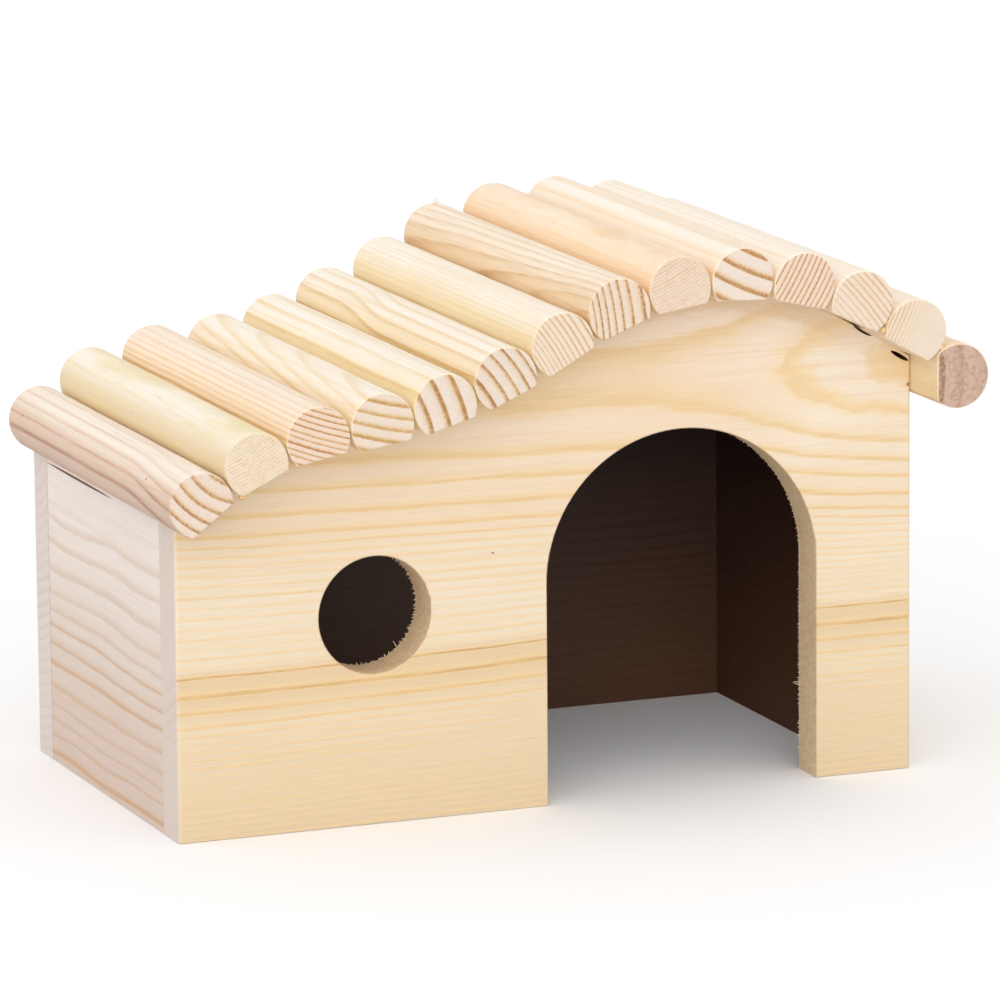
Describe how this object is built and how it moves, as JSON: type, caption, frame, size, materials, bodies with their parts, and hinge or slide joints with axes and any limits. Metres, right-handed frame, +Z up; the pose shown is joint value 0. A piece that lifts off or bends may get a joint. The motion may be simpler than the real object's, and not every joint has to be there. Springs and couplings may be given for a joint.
{
  "type": "hamster house",
  "caption": "Bottomless pine hideout for a small rodent, with an arched doorway, a round window and a waved roof of flattened dowels.",
  "frame": {"origin": "middle of the whole house in plan (bounding box), on the surface that the boards stand on", "axes": "+X along the front from the low eave to the high end, +Y from the doorway to the back, +Z up"},
  "size_m": [0.1548, 0.0904, 0.0999],
  "materials": {
    "board_front": "raw planed pine, yellowish, horizontal grain, unvarnished",
    "board_back": "raw planed pine, unvarnished",
    "board_side": "raw planed pine, pale pinkish, unvarnished",
    "dowel_cream": "raw sanded pine dowel, cream",
    "dowel_pink": "raw sanded pine dowel, pinkish peach",
    "dowel_tan": "raw sanded pine dowel, tan"
  },
  "bodies": {
    "root": {"front_panel": "board_front", "back_panel": "board_back", "left_side_panel": "board_side", "right_side_panel": "board_side", "roof_log_01": "dowel_pink", "roof_log_02": "dowel_cream", "roof_log_03": "dowel_pink", "roof_log_04": "dowel_cream", "roof_log_05": "dowel_cream", "roof_log_06": "dowel_cream", "roof_log_07": "dowel_cream", "roof_log_08": "dowel_pink", "roof_log_09": "dowel_pink", "roof_log_10": "dowel_cream", "roof_log_11": "dowel_cream", "roof_log_12": "dowel_cream", "roof_log_13": "dowel_cream", "roof_log_14": "dowel_tan"}
  },
  "joints": []
}
